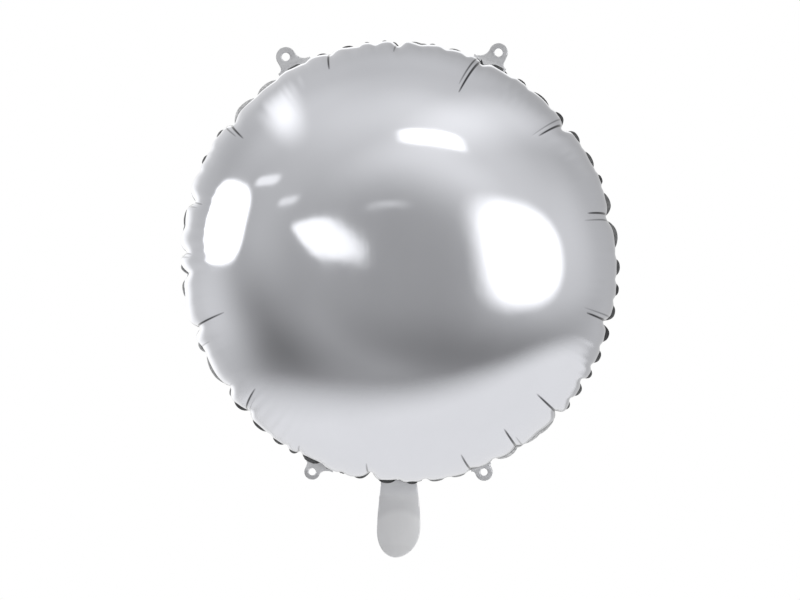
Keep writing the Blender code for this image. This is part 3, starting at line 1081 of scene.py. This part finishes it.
# %% Lamps and screens
# Azimuth, elevation, half width and half height in degrees, slant, squareness, softness and strength.
LAMPS = {
    "left box": (-84.5, 12, 22.5, 13.4, 0.1, 2.8, 0.1, 1.5),
    "left halo": (-100, 8, 46, 26, 0, 2, 0.9, 0.10),
    "right box": (40.5, 3, 23.5, 14, -0.15, 2.3, 0.30, 1.3),
    "right halo": (42, 4, 42, 26, 0, 2, 0.85, 0.27),
    "far right": (84, 4, 40, 26, 0, 2, 0.9, 0.06),
    "upper left bar": (-95, 52, 24, 5, 0.3, 2.2, 0.8, 0.58),
    "upper left glow": (-90, 53, 58, 16, 0, 2, 0.95, 0.14),
    "small box": (12.8, 38.2, 9.6, 4.6, 0, 4, 0.22, 0.8),
    "middle glow": (10, 42, 28, 20, 0, 2, 0.9, 0.28),
    "high glow": (0, 66, 60, 18, 0, 2, 0.9, 0.12),
    "upper right bar": (66, 54, 38, 9, 0, 2, 0.9, 0.24),
    "upper back": (150, 52, 50, 24, 0, 2, 0.9, 0.10),
    "window": (-16.5, 5.3, 8.4, 4.6, -1.5, 4.0, 0.16, 0.85),
    "first strip": (-54, 26, 8, 1.8, 0, 3, 0.3, 0.50),
    "second strip": (-35, 17, 5, 1.2, 0, 3, 0.4, 0.45),
    "third strip": (-2, 9, 3.0, 0.8, 0, 3, 0.5, 0.26),
    "back left wall": (-165, -5, 26, 34, 0, 2, 0.9, 0.22),
    "back left box": (-154, -2, 16, 14, 0, 2.6, 0.55, 0.42),
    "back box": (180, 16, 12, 9, 0, 3, 0.3, 0.50),
    "left side wall": (-96, -16, 26, 16, 0, 2, 0.9, 0.17),
    "left middle glow": (-46, 8, 15, 17, 0, 2, 0.9, 0.14),
    "high middle glow": (9, 23, 15, 9, 0, 2, 0.9, 0.14),
    "pale patch": (-18, -12, 17, 20, 0, 2, 0.9, 0.08),
    "dark room": (-10, -20, 78, 34, 0, 2.4, 0.7, -0.20),
    "dark centre": (2, 2, 14, 18, 0, 2, 0.9, -0.12),
    "dark left": (-56, -18, 20, 14, 0, 2, 0.9, -0.08),
    "dark low": (-72, -36, 44, 9, 0, 2, 0.9, -0.10),
    "dark middle": (16, -14, 12, 14, 0, 2, 0.9, -0.04),
    "dark right": (52, -26, 46, 9, 0, 2, 0.9, -0.17),
}
# The wall's tones, each with its elevation.
WALL_TONES = [(-90, 0.62), (-50, 0.50), (-30, 0.50), (0, 0.47), (20, 0.42), (35, 0.37), (50, 0.42),
              (70, 0.52), (90, 0.56)]
DARKEST = 0.10


# %% Node arithmetic
def calculate(tree, operation, *values):
    """A math node; each value is a number or a socket."""
    node = tree.nodes.new("ShaderNodeMath")
    node.operation = operation
    for socket, value in zip(node.inputs, values):
        if isinstance(value, (int, float)):
            socket.default_value = value
        else:
            tree.links.new(value, socket)
    return node.outputs["Value"]


def along(tree, way, axis, operation="DOT_PRODUCT"):
    """How far a direction points along an axis, or with DISTANCE how far one place is from another."""
    node = tree.nodes.new("ShaderNodeVectorMath")
    node.operation = operation
    node.inputs[1].default_value = axis
    tree.links.new(way, node.inputs[0])
    return node.outputs["Value"]


# %% The room
def lamp_light(tree, way, lamp):
    """What one lamp adds in a direction."""
    azimuth, elevation, half_width, half_height, slant, squareness, softness, strength = lamp
    turn, rise = radians(azimuth), radians(elevation)
    forwards = Vector((sin(turn) * cos(rise), -cos(turn) * cos(rise), sin(rise)))
    rightwards = Vector((cos(turn), sin(turn), 0))
    upwards = forwards.cross(rightwards)
    across = calculate(tree, "ARCTAN2", along(tree, way, rightwards), along(tree, way, forwards))
    height = calculate(tree, "ARCSINE", along(tree, way, upwards))
    slanted = calculate(tree, "MULTIPLY_ADD", height, -slant, across)
    wide = calculate(tree, "ABSOLUTE", calculate(tree, "DIVIDE", slanted, radians(half_width)))
    high = calculate(tree, "ABSOLUTE", calculate(tree, "DIVIDE", height, radians(half_height)))
    total = calculate(tree, "ADD", calculate(tree, "POWER", wide, squareness),
                      calculate(tree, "POWER", high, squareness))
    outwards = calculate(tree, "POWER", total, 1 / squareness)
    return remap(tree, outwards, (1 - softness, 1 + softness), (strength, 0.0), "SMOOTHSTEP")


def wall_light(tree, way):
    """The wall's tone at a direction's height."""
    curve = tree.nodes.new("ShaderNodeFloatCurve")
    height = calculate(tree, "ARCSINE", along(tree, way, (0, 0, 1)))
    share = calculate(tree, "MULTIPLY_ADD", height, 1 / pi, 0.5)
    points = curve.mapping.curves[0].points
    while len(points) < len(WALL_TONES):
        points.new(0.5, 0.5)
    for point, (elevation, grey) in zip(points, WALL_TONES):
        point.location = (elevation / 180 + 0.5, grey)
    curve.mapping.update()
    tree.links.new(share, curve.inputs["Value"])
    return curve.outputs["Value"]


def make_room():
    """The world: white to the camera, and the painted room to everything that reflects it."""
    world = bpy.data.worlds.new("studio")
    world.use_nodes = True
    tree = world.node_tree
    background = tree.nodes["Background"]
    way = tree.nodes.new("ShaderNodeTexCoord").outputs["Generated"]
    light = wall_light(tree, way)
    for lamp in LAMPS.values():
        light = calculate(tree, "ADD", light, lamp_light(tree, way, lamp))
    tree.links.new(calculate(tree, "MAXIMUM", light, DARKEST), background.inputs["Color"])
    seen = tree.nodes.new("ShaderNodeBackground")
    seen.inputs["Color"].default_value = (1.0, 1.0, 1.0, 1.0)
    by_camera = tree.nodes.new("ShaderNodeLightPath").outputs["Is Camera Ray"]
    mix_shaders(tree, by_camera, background.outputs[0], seen.outputs[0], "World Output")
    bpy.context.scene.world = world


make_room()
print("room ready, with", len(LAMPS), "lamps and screens")

# %% [markdown]
# The floor is a pale disc well below the balloon, under the picture's lower edge. The film's lower half
# reflects it, so its edge is soft, and it lies a little to the back and right, as the reflection shows.

# %% Floor
FLOOR_DROP = 0.56
FLOOR_MIDDLE = (0.34, 0.31)
FLOOR_RADIUS = 0.96
FLOOR_SOFTNESS = 0.27
FLOOR_GLOW = 0.22
FLOOR_SIDES = 96


def make_floor():
    """A disc that fades out towards its edge."""
    middle = (*FLOOR_MIDDLE, -FLOOR_DROP)
    floor_end = FLOOR_RADIUS * (1 + FLOOR_SOFTNESS)
    bm = bmesh.new()
    bmesh.ops.create_circle(bm, cap_ends=True, segments=FLOOR_SIDES, radius=floor_end,
                            matrix=Matrix.Translation(middle))
    material, tree, shader = new_finish("pale_floor", (0.86, 0.86, 0.86), 0.9)
    shader.inputs["Metallic"].default_value = 0.0
    shader.inputs["Emission Color"].default_value = (1.0, 1.0, 1.0, 1.0)
    shader.inputs["Emission Strength"].default_value = FLOOR_GLOW
    place = tree.nodes.new("ShaderNodeTexCoord").outputs["Object"]
    fade = (FLOOR_RADIUS * (1 - FLOOR_SOFTNESS), floor_end)
    solid = remap(tree, along(tree, place, middle, "DISTANCE"), fade, (1.0, 0.0), "SMOOTHSTEP")
    clear = tree.nodes.new("ShaderNodeBsdfTransparent")
    mix_shaders(tree, solid, clear.outputs[0], shader.outputs[0], "Material Output")
    floor = object_from(bm, "floor", material)


make_floor()
print("floor", FLOOR_DROP, "m below the middle")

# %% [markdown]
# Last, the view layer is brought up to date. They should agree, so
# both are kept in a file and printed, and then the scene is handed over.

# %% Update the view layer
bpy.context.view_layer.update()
